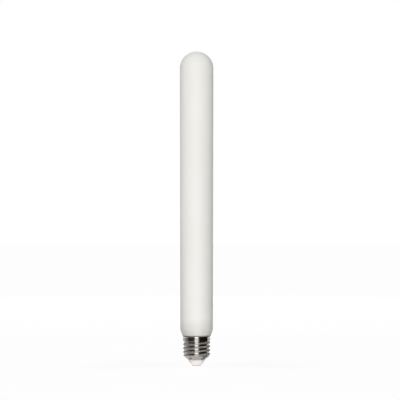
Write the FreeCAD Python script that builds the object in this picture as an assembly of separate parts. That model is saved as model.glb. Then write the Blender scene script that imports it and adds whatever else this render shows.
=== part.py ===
# A tubular lamp: a long matt opal glass tube with a domed end, cemented into a 27 mm screw cap.
# Millimetres. +Z runs up the lamp's axis, and the origin is the centre of the contact's end face.
import FreeCAD
import Part

import math
import os

Vector = FreeCAD.Vector
PARTS_FOLDER = "parts"

# The glass
overall_length = 300.0
tube_top_diameter = 32.0
tube_foot_diameter = 31.0
glass_wall = 1.0
shoulder_angle = 20.0
shoulder_radius = 9.0
foot_inner_radius = 0.3
foot_overhang = 0.55
neck_fillet_radius = 0.5
neck_length = 12.0
neck_clearance = 0.4

# The cap's sheet-metal shell, with its rolled thread as level rings of the thread's own section
cap_height = 28.0
sheet_thickness = 0.3
collar_diameter = 25.8
collar_fold_radius = 0.6
rim_flare = 0.15
rim_flare_length = 1.2
thread_pitch = 3.629
thread_crest_diameter = 26.2
thread_depth = 1.096
crest_count = 4
first_crest_height = 9.9
lip_height = 5.6
lip_diameter = 16.4

# The insulator under the shell
insulator_tip_diameter = 9.7
insulator_tip_radius = 0.9
insulator_side_angle = 36.0
insulator_web = 2.4
insulator_rim_height = 2.2
insulator_rim_wall = 1.6
insulator_clearance = 0.05

# The contact pressed into the insulator
contact_diameter = 8.4
contact_thickness = 0.4
contact_edge_radius = 0.2
contact_shank_diameter = 3.0
contact_shank_projection = 1.2
contact_clearance = 0.03

# The cement between the glass neck and the shell
cement_rim_gap = 0.5
cement_fold_gap = 0.55
cement_clearance = 0.02

tube_top_r = tube_top_diameter / 2
tube_foot_r = tube_foot_diameter / 2
crest_r = thread_crest_diameter / 2
root_r = crest_r - thread_depth
collar_r = collar_diameter / 2
rim_r = collar_r + rim_flare
lip_r = lip_diameter / 2
contact_r = contact_diameter / 2
shank_r = contact_shank_diameter / 2
neck_r = root_r - sheet_thickness - neck_clearance
glass_foot = cap_height + cement_clearance

# The thread's section is equal arcs, crest and root, that meet on the pitch line with one tangent
arc_r = ((thread_pitch / 4) ** 2 + (thread_depth / 2) ** 2) / thread_depth
arc_half_angle = math.asin(thread_pitch / 4 / arc_r)
crest_centre_r = crest_r - arc_r
root_centre_r = root_r + arc_r

# The cone under the thread leaves the lip and runs into the first crest with one tangent
lip_to_crest_r = crest_centre_r - lip_r
lip_to_crest_z = first_crest_height - lip_height
lip_to_crest = math.hypot(lip_to_crest_r, lip_to_crest_z)
cone_angle = math.atan2(lip_to_crest_r, lip_to_crest_z) + math.asin(arc_r / lip_to_crest)

# Over the last crest the section runs down into a root and up again into the collar
last_root_height = first_crest_height + (crest_count - 0.5) * thread_pitch
fold_centre_r = collar_r - collar_fold_radius
fold_reach = arc_r + collar_fold_radius
fold_angle = math.acos((root_centre_r - fold_centre_r) / fold_reach)
fold_height = last_root_height + fold_reach * math.sin(fold_angle)


def section_point(r, z):
    return Vector(r, 0.0, z)


def polar_point(centre, radius, angle):
    return section_point(centre[0] + radius * math.cos(angle), centre[1] + radius * math.sin(angle))


def arc_edge(centre, radius, start, end):
    middle = polar_point(centre, radius, (start + end) / 2)
    return Part.Arc(polar_point(centre, radius, start), middle, polar_point(centre, radius, end)).toShape()


def line_edge(start, end):
    return Part.LineSegment(start, end).toShape()


def joined(edges):
    """The edges in order, with a line wherever one doesn't start where the last one ends."""
    chain = []
    for edge in edges:
        if chain:
            end = chain[-1].valueAt(chain[-1].LastParameter)
            start = edge.valueAt(edge.FirstParameter)
            if end.distanceToPoint(start) > 1e-6:
                chain.append(line_edge(end, start))
        chain.append(edge)
    return chain


def turned(wire):
    return Part.Face(wire).revolve(Vector(0, 0, 0), Vector(0, 0, 1), 360)


def meeting_point(angle_a, reach_a, angle_b, reach_b):
    """Where two lines cross. Each has its outward normal that many radians below level, at that reach."""
    det = math.sin(angle_a - angle_b)
    r = (reach_b * math.sin(angle_a) - reach_a * math.sin(angle_b)) / det
    z = (reach_b * math.cos(angle_a) - reach_a * math.cos(angle_b)) / det
    return r, z


def reach(angle, point):
    return point[0] * math.cos(angle) - point[1] * math.sin(angle)


def glass_skin(depth):
    """The glass's section, from the crown to the neck's end, a given depth under its outer skin."""
    dome_centre = (0.0, overall_length - tube_top_r)
    foot_outer_radius = foot_inner_radius + glass_wall
    foot_centre = (rim_r + foot_overhang - foot_outer_radius, glass_foot + foot_outer_radius)
    fillet_centre = (neck_r + neck_fillet_radius, glass_foot - neck_fillet_radius)
    taper = math.atan2(tube_top_r - tube_foot_r, dome_centre[1] - glass_foot)
    slope = math.radians(shoulder_angle)
    taper_reach = reach(taper, dome_centre) + tube_top_r - shoulder_radius
    slope_reach = reach(slope, foot_centre) + foot_outer_radius - shoulder_radius
    shoulder_centre = meeting_point(taper, taper_reach, slope, slope_reach)
    fillet_r = neck_fillet_radius + depth
    dome = arc_edge(dome_centre, tube_top_r - depth, math.pi / 2, -taper)
    shoulder = arc_edge(shoulder_centre, shoulder_radius - depth, -taper, -slope)
    foot = arc_edge(foot_centre, foot_outer_radius - depth, -slope, -math.pi / 2)
    fillet = arc_edge(fillet_centre, fillet_r, math.pi / 2, math.pi)
    neck_side_r = neck_r - depth
    neck_top = section_point(neck_side_r, fillet_centre[1])
    neck_end = section_point(neck_side_r, glass_foot - neck_length)
    return joined([dome, shoulder, foot, fillet, line_edge(neck_top, neck_end)])


def closed_between(outer, inner):
    """A wire that runs down one skin and back up the other, closed by a line at each end."""
    outer_start = outer[0].valueAt(outer[0].FirstParameter)
    outer_end = outer[-1].valueAt(outer[-1].LastParameter)
    inner_start = inner[0].valueAt(inner[0].FirstParameter)
    inner_end = inner[-1].valueAt(inner[-1].LastParameter)
    edges = outer + [line_edge(outer_end, inner_end)] + inner[::-1] + [line_edge(inner_start, outer_start)]
    return Part.Wire(Part.__sortEdges__(edges))


def glass_envelope():
    return turned(closed_between(glass_skin(0.0), glass_skin(glass_wall)))


def shell_skin(depth):
    """The shell's section, from the lip to the rim, a given depth under its outer skin."""
    lip_side = lip_r - depth * math.cos(cone_angle)
    lip = section_point(lip_side, lip_height + depth * math.sin(cone_angle))
    edges = []
    for index in range(crest_count):
        height = first_crest_height + index * thread_pitch
        lower = -cone_angle if index == 0 else -arc_half_angle
        upper_root = fold_angle if index == crest_count - 1 else arc_half_angle
        root_centre = (root_centre_r, height + thread_pitch / 2)
        edges.append(arc_edge((crest_centre_r, height), arc_r - depth, lower, arc_half_angle))
        edges.append(arc_edge(root_centre, arc_r + depth, math.pi + arc_half_angle, math.pi - upper_root))
    edges.append(arc_edge((fold_centre_r, fold_height), collar_fold_radius - depth, -fold_angle, 0.0))
    flare_foot = section_point(collar_r - depth, cap_height - rim_flare_length)
    cone_top = polar_point((crest_centre_r, first_crest_height), arc_r - depth, -cone_angle)
    flare = line_edge(flare_foot, section_point(rim_r - depth, cap_height))
    return joined([line_edge(lip, cone_top)] + edges + [flare])


def screw_shell():
    return turned(closed_between(shell_skin(0.0), shell_skin(sheet_thickness)))


def insulator():
    gap = sheet_thickness + insulator_clearance
    seat = contact_thickness + contact_clearance
    slope = math.radians(insulator_side_angle)
    waist_r = lip_r - gap * math.cos(cone_angle)
    waist_top = lip_height + gap * math.sin(cone_angle)
    tip_centre = (insulator_tip_diameter / 2 - insulator_tip_radius, seat + insulator_tip_radius)
    side_foot = polar_point(tip_centre, insulator_tip_radius, -slope)
    waist_foot = side_foot.z + (waist_r - side_foot.x) / math.tan(slope)
    rim_z = waist_top + insulator_rim_height
    rim_side_r = waist_r + insulator_rim_height * math.tan(cone_angle)
    bore_r = shank_r + contact_clearance
    web_top = seat + insulator_web
    floor_r = side_foot.x + (web_top - side_foot.z) * math.tan(slope) - insulator_rim_wall
    tip = arc_edge(tip_centre, insulator_tip_radius, -math.pi / 2, -slope)
    outside = [
        section_point(waist_r, waist_foot),
        section_point(waist_r, waist_top),
        section_point(rim_side_r, rim_z),
        section_point(rim_side_r - insulator_rim_wall, rim_z),
        section_point(waist_r - insulator_rim_wall, waist_top),
        section_point(floor_r, web_top),
        section_point(bore_r, web_top),
        section_point(bore_r, seat),
    ]
    lines = [line_edge(start, end) for start, end in zip(outside, outside[1:])]
    edges = joined([tip] + lines + [tip])[:-1]
    return turned(Part.Wire(edges))


def centre_contact():
    edge_centre = (contact_r - contact_edge_radius, contact_edge_radius)
    shank_top = contact_thickness + contact_clearance + insulator_web + contact_shank_projection
    edge = arc_edge(edge_centre, contact_edge_radius, -math.pi / 2, 0.0)
    outline = [
        section_point(contact_r, contact_thickness),
        section_point(shank_r, contact_thickness),
        section_point(shank_r, shank_top),
        section_point(0.0, shank_top),
        section_point(0.0, 0.0),
    ]
    lines = [line_edge(start, end) for start, end in zip(outline, outline[1:])]
    edges = joined([edge] + lines + [edge])[:-1]
    return turned(Part.Wire(edges))


def cap_cement():
    inner_r = neck_r + cement_clearance
    outer_r = collar_r - sheet_thickness - cement_clearance
    top = cap_height - cement_rim_gap
    foot = fold_height + cement_fold_gap
    corners = [(inner_r, foot), (outer_r, foot), (outer_r, top), (inner_r, top), (inner_r, foot)]
    return turned(Part.makePolygon([section_point(r, z) for r, z in corners]))


def build():
    return {
        "glass_envelope": glass_envelope(),
        "screw_shell": screw_shell(),
        "insulator": insulator(),
        "centre_contact": centre_contact(),
        "cap_cement": cap_cement(),
    }


os.makedirs(PARTS_FOLDER, exist_ok=True)
for name, shape in build().items():
    shape.exportStep(os.path.join(PARTS_FOLDER, name + ".step"))
    print(name, shape.isValid(), len(shape.Solids), round(shape.Volume / 1000, 3), "cm3")
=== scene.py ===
# %% [markdown]
# # A tubular lamp, dressed for the camera
# The CAD model gives five solids in one frame: a glass tube, a metal screw cap, an insulator,
# a contact and a ring of cement. This notebook gives each of them the shape and finish that the
# eye sees, and then sets up a small photographic studio round them.
#
# Everything is in metres. +Z runs up the lamp and the camera looks along +Y.

import math

import bpy
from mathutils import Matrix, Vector


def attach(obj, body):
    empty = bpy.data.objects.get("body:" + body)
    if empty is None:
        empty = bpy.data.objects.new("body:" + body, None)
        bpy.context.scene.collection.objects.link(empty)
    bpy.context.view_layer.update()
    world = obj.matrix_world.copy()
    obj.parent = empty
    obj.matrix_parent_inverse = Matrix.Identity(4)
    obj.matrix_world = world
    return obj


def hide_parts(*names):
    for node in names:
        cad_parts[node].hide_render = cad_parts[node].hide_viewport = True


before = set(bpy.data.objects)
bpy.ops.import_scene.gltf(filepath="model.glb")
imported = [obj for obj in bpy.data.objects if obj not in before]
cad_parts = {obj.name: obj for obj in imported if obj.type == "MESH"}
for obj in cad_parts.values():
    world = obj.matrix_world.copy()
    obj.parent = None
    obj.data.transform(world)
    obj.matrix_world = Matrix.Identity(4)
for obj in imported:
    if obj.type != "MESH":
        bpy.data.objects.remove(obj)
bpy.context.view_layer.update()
MM = 0.001
print("nodes:", ", ".join(sorted(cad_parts)))

# %% [markdown]
# ## Turned shapes
# Nearly all of a lamp is made by spinning: the tube is blown in a turning mould, the insulator
# and the contact are round. So one helper turns a section about the Z axis into a mesh. A screw
# modifier could do the same, but a mesh made row by row has a single point where a section meets
# the axis, and it needs no modifier to be applied.

# %% A helper that turns a section into a mesh
ON_AXIS = 1e-9


def mesh_object(name, vertices, faces, sharp_degrees=35):
    mesh = bpy.data.meshes.new(name)
    mesh.from_pydata(vertices, [], faces)
    mesh.validate()
    mesh.shade_smooth()
    mesh.set_sharp_from_angle(angle=math.radians(sharp_degrees))
    piece = bpy.data.objects.new(name, mesh)
    bpy.context.scene.collection.objects.link(piece)
    print(name, "has", len(mesh.vertices), "points and", len(mesh.polygons), "faces")
    return piece


def turned(name, section, around, hollow=False):
    """A mesh from (radius, height) pairs. A hollow section is closed on itself."""
    rows, vertices, faces = [], [], []
    for radius, height in section:
        count = around if radius > ON_AXIS else 1
        rows.append([len(vertices) + i for i in range(count)])
        for i in range(count):
            angle = 2 * math.pi * i / around
            vertices.append((radius * math.cos(angle), radius * math.sin(angle), height))
    for upper, lower in zip(rows, rows[1:] + rows[:1] if hollow else rows[1:]):
        for i in range(around):
            j = (i + 1) % around
            ring = [upper[i % len(upper)], lower[i % len(lower)]]
            ring += [lower[j % len(lower)], upper[j % len(upper)]]
            face = [v for k, v in enumerate(ring) if v != ring[k - 1]]
            if len(face) > 2:
                faces.append(face)
    return mesh_object(name, vertices, faces)


# %% [markdown]
# Sections are runs of arcs and straight stretches. An arc is its centre, its radius and the two
# angles that it runs between, and a straight stretch is divided so that long thin faces, which
# shade badly, don't appear.

# %% Helpers for the sections
def arc(centre, radius, start, end, steps):
    angles = [start + (end - start) * i / steps for i in range(steps + 1)]
    return [(centre[0] + radius * math.cos(a), centre[1] + radius * math.sin(a)) for a in angles]


def divided(section, longest):
    """The same section, with points added on every stretch longer than the length given."""
    out = [section[0]]
    for (r0, z0), (r1, z1) in zip(section, section[1:]):
        steps = max(1, math.ceil(math.hypot(r1 - r0, z1 - z0) / longest))
        for i in range(1, steps + 1):
            out.append((r0 + (r1 - r0) * i / steps, z0 + (z1 - z0) * i / steps))
    return out


def in_metres(section):
    return [(r * MM, z * MM) for r, z in section]


# %% [markdown]
# ## The glass
# The real tube is drawn opal-coated glass: one end is melted shut into a dome, and the other is
# necked down to a shoulder and a tucked-in foot, so that it can be cemented into the cap. It could
# be a capsule primitive, but the look of the lamp is in its very slight taper, from 32 mm at the
# dome to 31 mm above the shoulder, and in the soft roll of the foot over the rim of the cap. So
# the section is drawn from tangent arcs, outside and inside, one wall thickness apart.

# %% Sizes of the glass, in millimetres
LENGTH = 300.0
TOP_R = 16.0
FOOT_R = 15.5
WALL = 1.0
SHOULDER_R = 9.0
SHOULDER_SLOPE = math.radians(20)
CAP_TOP = 28.0
RIM_R = 13.05
RIM_GAP = 0.02
GLASS_FOOT = CAP_TOP + RIM_GAP
ROLL_R = 0.3
OVERHANG = 0.55
NECK_R = 11.304
NECK_DEPTH = 12.0
NECK_FILLET = 0.5
print("glass seen in mm, from and to:", GLASS_FOOT, LENGTH)


# %% The glass section
def crossing(angle_a, reach_a, angle_b, reach_b):
    """Where two lines cross, each given by its normal's dip and its distance from the origin."""
    det = math.sin(angle_a - angle_b)
    r = (reach_b * math.sin(angle_a) - reach_a * math.sin(angle_b)) / det
    z = (reach_b * math.cos(angle_a) - reach_a * math.cos(angle_b)) / det
    return r, z


def reach(angle, point):
    return point[0] * math.cos(angle) - point[1] * math.sin(angle)


def glass_skin(depth):
    """The section of the glass, that far under its outer surface, from the dome to the neck."""
    dome = (0.0, LENGTH - TOP_R)
    foot_r = ROLL_R + WALL
    foot = (RIM_R + OVERHANG - foot_r, GLASS_FOOT + foot_r)
    fillet = (NECK_R + NECK_FILLET, GLASS_FOOT - NECK_FILLET)
    taper = math.atan2(TOP_R - FOOT_R, dome[1] - GLASS_FOOT)
    tube_reach = reach(taper, dome) + TOP_R - SHOULDER_R
    slope_reach = reach(SHOULDER_SLOPE, foot) + foot_r - SHOULDER_R
    shoulder = crossing(taper, tube_reach, SHOULDER_SLOPE, slope_reach)
    skin = arc(dome, TOP_R - depth, math.pi / 2, -taper, steps=40)
    skin += arc(shoulder, SHOULDER_R - depth, -taper, -SHOULDER_SLOPE, steps=12)
    skin += arc(foot, foot_r - depth, -SHOULDER_SLOPE, -math.pi / 2, steps=12)
    skin += arc(fillet, NECK_FILLET + depth, math.pi / 2, math.pi, steps=8)
    skin.append((NECK_R - depth, GLASS_FOOT - NECK_DEPTH))
    skin[0] = (0.0, skin[0][1])
    return skin


outside = divided(glass_skin(0.0), longest=5.0)
inside = divided(glass_skin(WALL), longest=12.0)
glass = turned("opal_tube", in_metres(outside + inside[::-1]), around=192)
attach(glass, "root")
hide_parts("glass_envelope")
print("widest glass in mm:", round(2 * max(r for r, z in outside), 2))

# %% [markdown]
# ## The screw shell
# The shell is one piece of thin sheet. A press draws it into a cup, and two rollers then squeeze
# the thread into its wall, so the wall is equally thick in crest and root. A spiral ridge wrapped
# round a cylinder would have hard seams where it starts and stops. Here the wall is one surface
# instead: a formula gives its radius at every height and angle. The thread's wave shifts by one
# pitch in one turn, and near both ends it fades into the plain cone and the plain collar, as the
# rolled metal does. In the photograph the valleys mirror the room like flat bands and the crests
# don't, so the wave is a cosine raised to a power: broad in the valley and narrow at the crest.

# %% The thread's formula
PITCH = 3.629
CREST_R = 13.1
DEPTH = 1.096
ROOT_R = CREST_R - DEPTH
FLATNESS = 1.8


def wave(along, inset):
    """The rolled thread's radius, that far along the axis from a crest."""
    phase = math.pi * along / PITCH
    swell = abs(math.cos(phase)) ** (2 * FLATNESS)
    slope = DEPTH * 2 * FLATNESS * swell * abs(math.tan(phase)) * math.pi / PITCH
    return ROOT_R + DEPTH * swell - inset * math.hypot(1.0, slope)


print("radius halfway between crest and root in mm:", round(wave(PITCH / 4, 0.0), 3))

# %% [markdown]
# The plain parts at both ends have formulas of their own. The cone under the thread bends into
# the wall with a small fillet, and the collar flares a little at the rim, where the glass sits.
# Over a short height at each end the thread's radius is mixed with the plain part's.

# %% The cone, the collar and the whole wall
LIP_Z = 5.6
LIP_R = 8.2
CONE = math.radians(47)
CONE_BEND = 1.2
CONE_TOP = LIP_Z + (ROOT_R - LIP_R) / math.tan(CONE)
COLLAR_R = 12.9
FLARE = 0.15
FLARE_HEIGHT = 1.2
THREAD_TOP = 23.9
LOW_MIX_BELOW = 0.4
LOW_MIX = 1.4
HIGH_MIX = 0.84
START = math.radians(-26)


def ease(x):
    x = min(max(x, 0.0), 1.0)
    return x * x * (3 - 2 * x)


def cone(height, inset):
    wall = ROOT_R - inset
    bend = CONE_BEND - inset
    corner = LIP_Z + (wall - LIP_R + inset / math.cos(CONE)) / math.tan(CONE)
    tangent = bend * math.tan(CONE / 2)
    if height >= corner + tangent:
        return wall
    if height <= corner - tangent * math.cos(CONE):
        return LIP_R + (height - LIP_Z) * math.tan(CONE) - inset / math.cos(CONE)
    return wall - bend + math.sqrt(max(bend**2 - (corner + tangent - height) ** 2, 0.0))


def collar(height, inset):
    flare = max(0.0, (height - CAP_TOP + FLARE_HEIGHT) / FLARE_HEIGHT) ** 2
    return COLLAR_R - inset + FLARE * flare


def shell_radius(height, angle, inset):
    radius = wave(height - PITCH * (angle - START) / (2 * math.pi), inset)
    low = 1 - ease((height - CONE_TOP + LOW_MIX_BELOW) / LOW_MIX)
    high = ease((height - THREAD_TOP + HIGH_MIX) / HIGH_MIX)
    radius += (cone(height, inset) - radius) * low
    return radius + (collar(height, inset) - radius) * high


print("thread in mm, from and to:", round(CONE_TOP, 2), THREAD_TOP)

# %% [markdown]
# The grid's rows are level rings. They are packed closely where the thread is steep and spread
# out on the cone and the collar. The sheet's cut edges at lip and rim are rounded by three extra
# rows each, because a knife-sharp edge never catches the light.

# %% Build the shell
SHEET = 0.3
EDGE_ANGLES = (0.8, 1.57, 2.34)
DENSE_FROM = 8.2
DENSE_TO = 24.0


def steps(start, end, count):
    return [start + (end - start) * i / count for i in range(count)]


def ring_heights(cone_rows, thread_rows, collar_rows):
    heights = steps(LIP_Z, DENSE_FROM, cone_rows) + steps(DENSE_FROM, DENSE_TO, thread_rows)
    return heights + steps(DENSE_TO, CAP_TOP, collar_rows) + [CAP_TOP]


def shell_rows():
    """(height, inset, rise) of every ring: up the outside, over the rim, down the inside."""
    half = SHEET / 2
    edge = [(half * (1 - math.cos(a)), half * math.sin(a)) for a in EDGE_ANGLES]
    rim_z = CAP_TOP - half
    rows = [(min(height, rim_z), 0.0, 0.0) for height in ring_heights(24, 190, 14)]
    rows += [(rim_z, inset, rise) for inset, rise in edge]
    rows += [(min(height, rim_z), SHEET, 0.0) for height in ring_heights(12, 80, 8)[::-1]]
    return rows + [(LIP_Z, inset, -rise) for inset, rise in edge[::-1]]


def build_shell(around=216):
    vertices, faces = [], []
    rows = shell_rows()
    for i in range(around):
        angle = 2 * math.pi * i / around
        for height, inset, rise in rows:
            height = max(height, LIP_Z + SHEET / 2)
            radius = shell_radius(height, angle, inset) * MM
            z = (height + rise) * MM
            vertices.append((radius * math.cos(angle), radius * math.sin(angle), z))
    count = len(rows)
    for i in range(around):
        j = (i + 1) % around
        for k in range(count):
            m = (k + 1) % count
            faces.append([i * count + m, i * count + k, j * count + k, j * count + m])
    return mesh_object("rolled_shell", vertices, faces, sharp_degrees=60)


shell = build_shell()
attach(shell, "root")
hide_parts("screw_shell")

# %% [markdown]
# ## The insulator
# Under the shell sits a moulded white cone that keeps the centre contact away from the metal.
# A cone primitive has knife-sharp corners, which moulded parts never have, so the section is
# turned like the glass and rounds every edge that shows. Its rim is up inside the shell.

# %% The insulator
TIP_R = 4.85
TIP_ROUND = 0.9
SEAT = 0.43
SIDE_SLOPE = math.radians(36)
WAIST_R = 7.97
WAIST_Z = 5.88
WAIST_ROUND = 1.2
HIDDEN_RIM_Z = 8.05
WEB_TOP = 2.83
HOLE_R = 1.53


def insulator_section():
    """Up the inside from the web, over the rim, down the side to the tip, and the hole."""
    tip = (TIP_R - TIP_ROUND, SEAT + TIP_ROUND)
    bend_r = WAIST_R - WAIST_ROUND
    drop = bend_r * math.cos(SIDE_SLOPE) + WAIST_ROUND - reach(SIDE_SLOPE, tip) - TIP_ROUND
    bend = (bend_r, drop / math.sin(SIDE_SLOPE))
    section = [(4.55, WEB_TOP), (6.38, WAIST_Z), (9.1, HIDDEN_RIM_Z), (10.3, HIDDEN_RIM_Z)]
    section.append((WAIST_R, WAIST_Z))
    section += arc(bend, WAIST_ROUND, 0.0, -SIDE_SLOPE, steps=6)
    section += arc(tip, TIP_ROUND, -SIDE_SLOPE, -math.pi / 2, steps=12)
    return section + [(HOLE_R, SEAT), (HOLE_R, WEB_TOP)]


cone_profile = in_metres(divided(insulator_section(), longest=0.6))
cone_piece = turned("white_cone", cone_profile, around=128, hollow=True)
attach(cone_piece, "root")
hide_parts("insulator")

# %% [markdown]
# ## The contact
# The contact is a small stamped button on a shank that passes through the insulator. Its face is
# flat, with the shallow ring and the dimple that the stamping tool leaves. They could be a bump
# in the finish, but they are forms, so they are in the section.

# %% The contact button
BUTTON_R = 4.2
BUTTON_EDGE = 0.2
SHANK_R = 1.5
SHANK_TOP = 4.03


def contact_section():
    """Down the shank, round the button's edge and in along its stamped face."""
    shank = [(0.0, SHANK_TOP), (1.3, SHANK_TOP), (SHANK_R, 3.8), (SHANK_R, 2 * BUTTON_EDGE)]
    middle = (BUTTON_R - BUTTON_EDGE, BUTTON_EDGE)
    edge = arc(middle, BUTTON_EDGE, math.pi / 2, -math.pi / 2, steps=8)
    ring = [(3.2, 0.0), (3.1, 0.03), (2.9, 0.03), (2.8, 0.0)]
    dimple = [(1.2, 0.0), (1.0, 0.04), (0.0, 0.06)]
    return shank + edge + ring + dimple


button_profile = in_metres(divided(contact_section(), longest=0.3))
button = turned("contact_button", button_profile, around=128)
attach(button, "root")
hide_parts("centre_contact")

# %% [markdown]
# ## Writing shaders as sums
# A material is a graph of small nodes, which is hard to read in code. The small classes below
# let it be written as arithmetic. A Signal is one output of the graph, and adding or multiplying
# signals makes the Math nodes. Every other node comes from one method, Graph.add, and the room's
# light near the end of this notebook is made with it too.

# %% The shader helpers
class Signal:
    """One node's output, which can be added to and multiplied."""

    def __init__(self, graph, node, output):
        self.graph = graph
        self.node = node
        self.socket = node.outputs[output] if len(node.outputs) else None

    def maths(self, operation, first, second):
        return self.graph.add("ShaderNodeMath", {"operation": operation}, {0: first, 1: second})

    def __add__(self, other):
        return self.maths("ADD", self, other)

    def __sub__(self, other):
        return self.maths("SUBTRACT", self, other)

    def __rsub__(self, other):
        return self.maths("SUBTRACT", other, self)

    def __mul__(self, other):
        return self.maths("MULTIPLY", self, other)

    __radd__ = __add__
    __rmul__ = __mul__


class Graph:
    """A tree of nodes, and the one method that adds to it."""

    def __init__(self, tree):
        self.tree = tree
        tree.nodes.clear()

    def set(self, socket, value):
        if isinstance(value, Signal):
            self.tree.links.new(value.socket, socket)
        else:
            socket.default_value = value

    def add(self, kind, settings=None, inputs=None, output=0):
        node = self.tree.nodes.new(kind)
        for name, value in (settings or {}).items():
            if name == "stops":
                for element, (position, level) in zip(node.color_ramp.elements, value):
                    element.position = position
                    element.color = (level, level, level, 1.0)
            else:
                setattr(node, name, value)
        for name, value in (inputs or {}).items():
            self.set(node.inputs[name], value)
        return Signal(self, node, output)


class Finish(Graph):
    """One material. Its graph ends in a Principled shader."""

    def __init__(self, name, **constants):
        self.material = bpy.data.materials.new(name)
        self.material.use_nodes = True
        super().__init__(self.material.node_tree)
        values = {socket.replace("_", " "): value for socket, value in constants.items()}
        self.shader = self.add("ShaderNodeBsdfPrincipled", {}, values, "BSDF")
        self.end = self.add("ShaderNodeOutputMaterial", {}, {"Surface": self.shader})
        print("finish:", name)

    def drive(self, socket, signal):
        self.set(self.shader.node.inputs[socket], signal)


# %% [markdown]
# A few patterns come up in every finish below: a place to read from, some noise, and a blend of
# two colours. All patterns read object coordinates, in metres, so they keep their real scale.
# Painting wear by hand isn't needed either, because the distance to the axis and the height tell
# a crest from a valley and the collar from the thread.

# %% Patterns that the finishes share
MIX_FACTOR, MIX_FIRST, MIX_SECOND, MIX_COLOUR = 0, 6, 7, 2


def place(finish, scale=(1.0, 1.0, 1.0)):
    coords = finish.add("ShaderNodeTexCoord", output="Object")
    return finish.add("ShaderNodeVectorMath", {"operation": "MULTIPLY"}, {0: coords, 1: scale})


def noise(finish, scale, stretch=(1.0, 1.0, 1.0), detail=3.0, roughness=0.5):
    inputs = {"Vector": place(finish, stretch), "Scale": scale}
    inputs.update({"Detail": detail, "Roughness": roughness})
    return finish.add("ShaderNodeTexNoise", {}, inputs, "Fac")


def ramp(finish, signal, low, high):
    stops = [(low, 0.0), (high, 1.0)]
    return finish.add("ShaderNodeValToRGB", {"stops": stops}, {0: signal}, "Color")


def blend(finish, factor, first, second):
    inputs = {MIX_FACTOR: factor, MIX_FIRST: first, MIX_SECOND: second}
    return finish.add("ShaderNodeMix", {"data_type": "RGBA"}, inputs, MIX_COLOUR)


def bump(finish, height, depth):
    inputs = {"Height": height, "Strength": 1.0, "Distance": depth}
    finish.drive("Normal", finish.add("ShaderNodeBump", {}, inputs, "Normal"))


def colour(*levels):
    """A colour as read off a screen, from 0 to 255, turned into the linear value shaders use."""
    return (*[((level / 255 + 0.055) / 1.055) ** 2.4 for level in levels], 1.0)


def axis_distance(finish):
    flat = place(finish, (1.0, 1.0, 0.0))
    return finish.add("ShaderNodeVectorMath", {"operation": "LENGTH"}, {0: flat}, "Value")


def height_up(finish):
    return finish.add("ShaderNodeSeparateXYZ", {}, {0: place(finish)}, "Z")


def share(finish, length, none_at, all_at):
    """How far a length has come between two values in millimetres, from 0 to 1."""
    inputs = {"Value": length, "From Min": none_at * MM, "From Max": all_at * MM}
    return finish.add("ShaderNodeMapRange", {"clamp": True}, inputs)


# %% [markdown]
# ## Opal glass
# The tube is clear glass with a white powder coat inside and a very fine etch outside. From
# arm's length it is one soft, slightly warm white. What keeps it from looking like plastic is that
# the sheen isn't even: the etch is finer in some places, and the coat is a touch thinner and
# greyer in others. Towards the cap the white is darkened by painted shade, and where the glass
# meets the rim a dark band of painted shade stands for the shadow in the crevice.
# Subsurface light would be truer, but it costs much and shows little on a coat this dense, so the
# white is on the surface.

# %% The opal glass finish
# Painted shade: from this height in mm down to the cap the white is blended towards grey.
PAINTED_SHADE_UP_TO = 46.0
# Painted shade: a dark band between these heights in mm, where the glass meets the rim.
JOINT_SHADE_FROM = 28.2
JOINT_SHADE_TO = 29.7

opal = Finish("opal_glass_finish", IOR=1.5, Specular_IOR_Level=0.35)
cloud = ramp(opal, noise(opal, 38.0, stretch=(1.0, 1.0, 0.45), detail=4.0), 0.35, 0.65)
speck = ramp(opal, noise(opal, 900.0, detail=2.0), 0.62, 0.78)
warm = blend(opal, cloud, colour(240, 239, 235), colour(237, 236, 231))
coat = blend(opal, speck * 0.35, warm, colour(228, 227, 222))
# Painted shade: the white turns greyer from 46 mm down to the cap.
foot = share(opal, height_up(opal), PAINTED_SHADE_UP_TO, CAP_TOP)
# Painted shade: a dark band stands for the shadow in the crevice between glass and rim.
painted_joint_shade = share(opal, height_up(opal), JOINT_SHADE_TO, JOINT_SHADE_FROM)
painted_foot_shade = blend(opal, foot * 0.8, coat, colour(205, 203, 198))
opal.drive("Base Color", blend(opal, painted_joint_shade, painted_foot_shade, colour(96, 94, 90)))
opal.drive("Roughness", 0.42 + cloud * 0.1 + speck * 0.06)
etch = noise(opal, 4200.0, detail=2.0)
ripple = noise(opal, 55.0, stretch=(1.0, 1.0, 0.12), detail=1.0)
bump(opal, etch * 0.15 + ripple, depth=0.00004)
glass.data.materials.append(opal.material)

# %% [markdown]
# ## Rolled nickel
# The shell is plated steel or brass. Rolling draws fine lines round the wall, handling leaves
# faint smears, and every lamp holder that the cap is screwed into scuffs the thread's crests. The
# lines come from noise that is squeezed flat along the axis. The crests are found from the
# distance to the axis. The collar, which is as far out as the crests but never scuffed, is left
# out by its height. Grime stays in the valleys, where no holder rubs it off.

# %% The shell's finish
nickel = Finish("rolled_nickel_finish", Metallic=1.0)
radius = axis_distance(nickel)
crest = share(nickel, radius, ROOT_R, CREST_R)
off_cone = share(nickel, radius, ROOT_R - 0.5, ROOT_R - 0.1)
valley = (1.0 - crest) * off_cone
scuffed = crest * share(nickel, height_up(nickel), THREAD_TOP, THREAD_TOP - 0.7)
lines = noise(nickel, 900.0, stretch=(0.02, 0.02, 6.0), detail=3.0, roughness=0.6)
blotches = noise(nickel, 210.0, stretch=(1.0, 1.0, 0.5), detail=4.0, roughness=0.6)
smear = ramp(nickel, blotches, 0.42, 0.68)
deposit = noise(nickel, 520.0, stretch=(1.0, 1.0, 2.5), detail=5.0, roughness=0.65)
grime = ramp(nickel, deposit, 0.5, 0.75)
clean = blend(nickel, crest, colour(200, 194, 188), colour(210, 205, 200))
nickel.drive("Base Color", blend(nickel, grime * valley * 0.5, clean, colour(150, 141, 130)))
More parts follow.
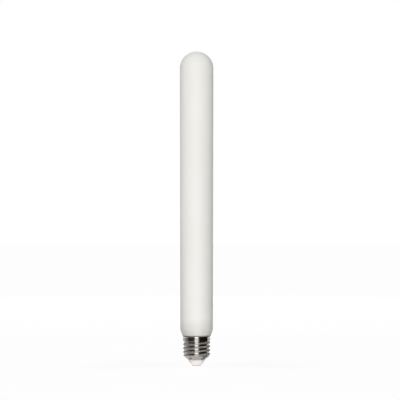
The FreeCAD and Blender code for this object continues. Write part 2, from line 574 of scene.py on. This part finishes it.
polish = 0.09 + smear * 0.07 + lines * 0.06
nickel.drive("Roughness", polish + grime * valley * 0.1 + scuffed * 0.25)
bump(nickel, lines + smear * 0.25, depth=0.000006)
shell.data.materials.append(nickel.material)

# %% [markdown]
# ## White insulator, contact and cement
# The insulator is glossy moulded plastic with the faint swirl of the mould. The contact is plated
# brass with fine rings from the stamping tool and duller patches. The cement is hidden between
# glass and metal, but anyone who takes the lamp apart should find a baked, gritty ring there.

# %% The insulator's finish
moulded = Finish("moulded_white_finish", IOR=1.5)
swirl = noise(moulded, 160.0, stretch=(1.0, 1.0, 2.0))
moulded.drive("Base Color", blend(moulded, swirl, colour(244, 238, 237), colour(236, 230, 229)))
moulded.drive("Roughness", 0.24 + swirl * 0.12)
bump(moulded, swirl + noise(moulded, 1800.0, detail=2.0) * 0.2, depth=0.00002)
cone_piece.data.materials.append(moulded.material)

# %% The contact's finish
RING_PHASE = 42000.0  # radians in a metre, which is a ring every 0.15 mm

brass = Finish("plated_contact_finish", Metallic=1.0)
phase = axis_distance(brass) * RING_PHASE
ring_wave = brass.add("ShaderNodeMath", {"operation": "SINE"}, {0: phase})
dull = ramp(brass, noise(brass, 700.0, detail=4.0), 0.4, 0.7)
brass.drive("Base Color", blend(brass, dull, colour(238, 235, 229), colour(228, 223, 214)))
brass.drive("Roughness", 0.22 + dull * 0.18)
bump(brass, ring_wave * 0.5 + dull * 0.5, depth=0.000002)
button.data.materials.append(brass.material)

# %% The cement's finish
cement = Finish("baked_cement_finish")
grit = noise(cement, 1500.0, detail=5.0, roughness=0.7)
cement.drive("Base Color", blend(cement, grit, colour(196, 183, 160), colour(150, 138, 118)))
cement.drive("Roughness", 0.8 + grit * 0.15)
bump(cement, grit, depth=0.00015)
cement_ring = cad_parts["cap_cement"]
cement_ring.data.materials.clear()
cement_ring.data.materials.append(cement.material)

# %% [markdown]
# ## The studio
# White glass on a white ground is lit mostly from all round, with one soft strip in front of it
# that gives the tube its gentle roundness. Polished metal is different: it shows the studio
# itself. A mirror-like cap in an all-white room looks like chalk, so photographers stand dark
# cards at both sides. Here each card is seen either by reflections or by soft light.

# %% Helpers for the studio
BLACK = (0.0, 0.0, 0.0, 1.0)
CARD_Z = 0.001
DEGREES_A_STEP = 4


def flat(near, far, height=CARD_Z):
    """The profile of a card that lies on the floor, as (distance, height) pairs."""
    return [(near, height), (far, height)]


def turned_up(near, far, top, height=CARD_Z):
    """The profile of a card that lies on the floor and turns up at its far edge."""
    return flat(near, far, height) + [(far, top)]


def round_the_lamp(azimuth, distance, height):
    """A spot that many degrees to the right of the camera's side, seen from the lamp."""
    a = math.radians(azimuth)
    return (math.sin(a) * distance, -math.cos(a) * distance, height)


def cove(name, azimuths, level, first, last=None, shades=False):
    """A curved card round the lamp. Its profile changes from first to last between two azimuths."""
    start, end = azimuths
    count = math.ceil(abs(end - start) / DEGREES_A_STEP)
    vertices = []
    for i in range(count + 1):
        for (d0, h0), (d1, h1) in zip(first, last or first):
            distance, height = d0 + (d1 - d0) * i / count, h0 + (h1 - h0) * i / count
            vertices.append(round_the_lamp(start + (end - start) * i / count, distance, height))
    width = len(first)
    corners = [i * width + k for i in range(count) for k in range(width - 1)]
    faces = [(c, c + width, c + width + 1, c + 1) for c in corners]
    mesh = bpy.data.meshes.new(name)
    mesh.from_pydata(vertices, [], faces)
    sheet = bpy.data.objects.new(name, mesh)
    bpy.context.scene.collection.objects.link(sheet)
    sheet.visible_camera = sheet.visible_shadow = sheet.visible_transmission = False
    sheet.visible_glossy = not shades
    sheet.visible_diffuse = shades
    glow = {"Emission_Color": (level, level, level, 1.0), "Emission_Strength": 1.0}
    grey = Finish(name + "_finish", Base_Color=BLACK, Specular_IOR_Level=0.0, **glow)
    mesh.materials.append(grey.material)


# %% [markdown]
# Azimuths are counted from the camera's side: positive to the right. The photograph's cap mirrors
# black from 27 to 94 degrees on the right, dark grey from 27 to 74 on the left, and mid grey
# further round. The camera looks slightly down, so upright metal mirrors the floor. That is why
# the cards lie on the floor and turn up, like a photographer's cove.
#
# The flanks of the thread mirror what is above and below. On the left the dark card stands high
# and the floor close to the lamp is grey. On the right the floor close to the lamp is dark too,
# which makes the dark stripes slant as they do in the photograph.

# %% Dark cards that the metal mirrors at both sides
front = turned_up(0.03, 0.3, top=0.42)
side = turned_up(0.02, 0.3, top=0.12)
left_front = turned_up(0.1, 0.3, top=1.3)
left_side = turned_up(0.1, 0.3, top=1.0)
cove("right_edge", (14, 20), 0.25, front)
cove("right_black", (20, 107), 0.008, front, side)
cove("left_edge", (-15, -24), 0.12, front)
cove("left_low", (-24, -76), 0.25, flat(0.03, 0.1))
cove("left_dark", (-24, -76), 0.035, left_front, left_side)
print("top of the dark card at the left in m:", left_front[-1][1])

# %% [markdown]
# Further round, the valleys are pale and the crests dark in the photograph, so the floor there is
# pale and the upright part of the card is dark. Each of these sectors is four strips, from the
# floor close to the lamp to the top of the upright part.

# %% Grey sectors further round
strips = {
    "low": flat(0.03, 0.06),
    "floor": flat(0.06, 0.3),
    "foot": [(0.3, CARD_Z), (0.3, 0.06)],
    "upright": [(0.3, 0.06), (0.3, 0.5)],
}
sectors = {
    "left_inner": (-76, -92, (0.3, 0.3, 0.17, 0.25)),
    "left_middle": (-92, -112, (0.3, 0.75, 0.18, 0.3)),
    "left_outer": (-112, -172, (0.3, 1.0, 0.5, 0.3)),
    "right_outer": (107, 172, (0.3, 0.95, 0.55, 0.22)),
}
for sector, (start, end, levels) in sectors.items():
    for (strip, profile), level in zip(strips.items(), levels):
        cove(sector + "_" + strip, (start, end), level, profile)
print("sectors of four strips:", len(sectors))

# %% [markdown]
# In front, a bright patch close to the lamp puts a spark in every valley. The two grey rings right
# under the lamp are painted shadow: they stand for the lamp's own shadow on the floor, as the metal
# mirrors it. They and the two small spots are for the cone, which mirrors straight down. The rings,
# the spots and the other cards lie at slightly different heights, so that no two share a place.

# %% Cards in front of the lamp and under it
RING_Z = 0.0006
SPOT_Z = 0.0008
cove("front_close", (-13, 13), 3.5, flat(0.03, 0.1))
cove("front_near", (-15, 14), 0.9, flat(0.1, 0.48))
cove("front_far", (-17, 14), 1.5, flat(0.48, 1.5))
# Painted shadow: these two rings stand for the lamp's shadow on the floor under it.
cove("lamp_shadow_ring", (0, 360), 0.7, flat(0.006, 0.015, RING_Z))
cove("outer_lamp_shadow_ring", (107, 380), 0.7, flat(0.015, 0.03, RING_Z))
cove("right_low", (20, 107), 0.06, flat(0.015, 0.03, RING_Z))
cove("left_spot", (-48, -84), 0.2, flat(0.0096, 0.0109, SPOT_Z))
cove("right_spot", (48, 90), 0.03, flat(0.0082, 0.0092, SPOT_Z), flat(0.011, 0.0145, SPOT_Z))
print("heights of rings, spots and cards in mm:", RING_Z / MM, SPOT_Z / MM, CARD_Z / MM)

# %% [markdown]
# The tall cards stand at both sides and take light from the tube's edges. Low near cards do the
# same for the foot of the glass and for the insulator. Matt glass takes its shading from cards
# straight beside it, while its sheen needs them further back, so there are two pairs.

# %% Cards that shade the glass
near = turned_up(0.0085, 0.1, top=0.04, height=0.0015)
tall = turned_up(0.31, 0.6, top=1.2)
cove("right_shade", (66, 140), 0.03, near, shades=True)
cove("left_shade", (-60, -140), 0.12, near, shades=True)
cove("right_tall", (75, 135), 0.01, tall, shades=True)
cove("left_tall", (-100, -130), 0.1, tall, shades=True)
cove("right_tall_mirrored", (120, 172), 0.01, tall)
cove("left_tall_mirrored", (-120, -172), 0.1, tall)
print("top of the low and the tall cards in m:", near[-1][1], tall[-1][1])

# %% [markdown]
# Three soft lamps light the glass: a wide strip in front, a narrow one behind, and a small panel
# under the cap for the light that a white table throws back up. All three are hidden from
# reflections, because the thread would show them as a hard line along every crest.

# %% Lamps
STRIP_DISTANCE = 1.6
STRIP_HEIGHT = 0.82
STRIP_TALL = 1.6
TABLE_Z = 0.0005


def panel_lamp(name, place_at, aim_at, width, tall, level):
    """A soft rectangular lamp. Its level is the brightness of its own face, where 1 is white."""
    light = bpy.data.lights.new(name, "AREA")
    light.shape = "RECTANGLE"
    light.size = width
    light.size_y = tall
    light.energy = level * math.pi * width * tall
    lamp = bpy.data.objects.new(name, light)
    bpy.context.scene.collection.objects.link(lamp)
    lamp.location = place_at
    aim = Vector(aim_at) - lamp.location
    lamp.rotation_euler = aim.to_track_quat("-Z", "Y").to_euler()
    lamp.visible_camera = lamp.visible_glossy = False
    print(name, "watts:", round(light.energy, 2))


def strip_lamp(name, azimuth, width, level):
    place_at = round_the_lamp(azimuth, STRIP_DISTANCE, STRIP_HEIGHT)
    panel_lamp(name, place_at, (0.0, 0.0, STRIP_HEIGHT), width, STRIP_TALL, level)


strip_lamp("front_strip", -1, width=0.75, level=2.4)
strip_lamp("back_strip", 180, width=0.3, level=6.0)
panel_lamp("light_table", (0.0, 0.0, TABLE_Z), (0.0, 0.0, 1.0), width=0.12, tall=0.7, level=0.37)

# %% [markdown]
# The world is the rest of the room. The camera, and anything mirror-like, sees it white. For
# matt surfaces it is a softer fill, which leaves the strip room to shape the tube.

# %% The room
ROOM_FILL = (0.74, 0.74, 0.74, 1.0)
WHITE = (1.0, 1.0, 1.0, 1.0)

world = bpy.data.worlds.new("white_room")
bpy.context.scene.world = world
world.use_nodes = True
room = Graph(world.node_tree)


def ray(graph, kind):
    return graph.add("ShaderNodeLightPath", output="Is " + kind + " Ray")


seen = ray(room, "Camera") + ray(room, "Glossy") + ray(room, "Transmission")
air = room.add("ShaderNodeBackground", {}, {"Color": blend(room, seen, ROOM_FILL, WHITE)})
room.add("ShaderNodeOutputWorld", {}, {"Surface": air})
print("room nodes:", len(room.tree.nodes))

# %% [markdown]
# The floor is a large pale sheet. To the camera it is nearly the white of the room, with a part
# of its true shading left in, so that it keeps the lamp's soft shadow.

# %% The floor
HALF = 6.0
PAPER = (0.9, 0.9, 0.9, 1.0)
FLOOR_SEEN = 0.95
FLOOR_MIRRORED = 0.7

floor_mesh = bpy.data.meshes.new("floor")
floor_corners = [(-HALF, -HALF, 0), (HALF, -HALF, 0), (HALF, HALF, 0), (-HALF, HALF, 0)]
floor_mesh.from_pydata(floor_corners, [], [(0, 1, 2, 3)])
floor = bpy.data.objects.new("floor", floor_mesh)
bpy.context.scene.collection.objects.link(floor)
paper = Finish("floor_finish", Base_Color=PAPER, Roughness=0.9)
glow = paper.add("ShaderNodeEmission", {}, {"Color": WHITE, "Strength": 1.0})
own_light = ray(paper, "Camera") * FLOOR_SEEN + ray(paper, "Glossy") * FLOOR_MIRRORED
both = paper.add("ShaderNodeMixShader", {}, {0: own_light, 1: paper.shader, 2: glow})
paper.set(paper.end.node.inputs["Surface"], both)
floor_mesh.materials.append(paper.material)
print("floor nodes:", len(paper.tree.nodes))

# %% [markdown]
# ## The camera
# The photograph looks level at the middle of the lamp from a little over two metres, so the cap
# is seen slightly from above and the dome slightly from below. The long lens keeps the tube's
# sides straight. The lamp stands a little left of the picture's middle, as in the photograph.

# %% Place the camera
DISTANCE = 2.2
FIELD = 0.3822
SENSOR = 36.0
CAMERA_X = 0.00325
CAMERA_Z = 0.1582
camera_data = bpy.data.cameras.new("camera")
camera_data.sensor_width = SENSOR
camera_data.lens = SENSOR * DISTANCE / FIELD
camera = bpy.data.objects.new("camera", camera_data)
bpy.context.scene.collection.objects.link(camera)
camera.location = (CAMERA_X, -DISTANCE, CAMERA_Z)
camera.rotation_euler = (math.pi / 2, 0.0, 0.0)
bpy.context.scene.camera = camera
bpy.context.scene.view_settings.view_transform = "Standard"
print("lens in mm:", round(camera_data.lens, 1))
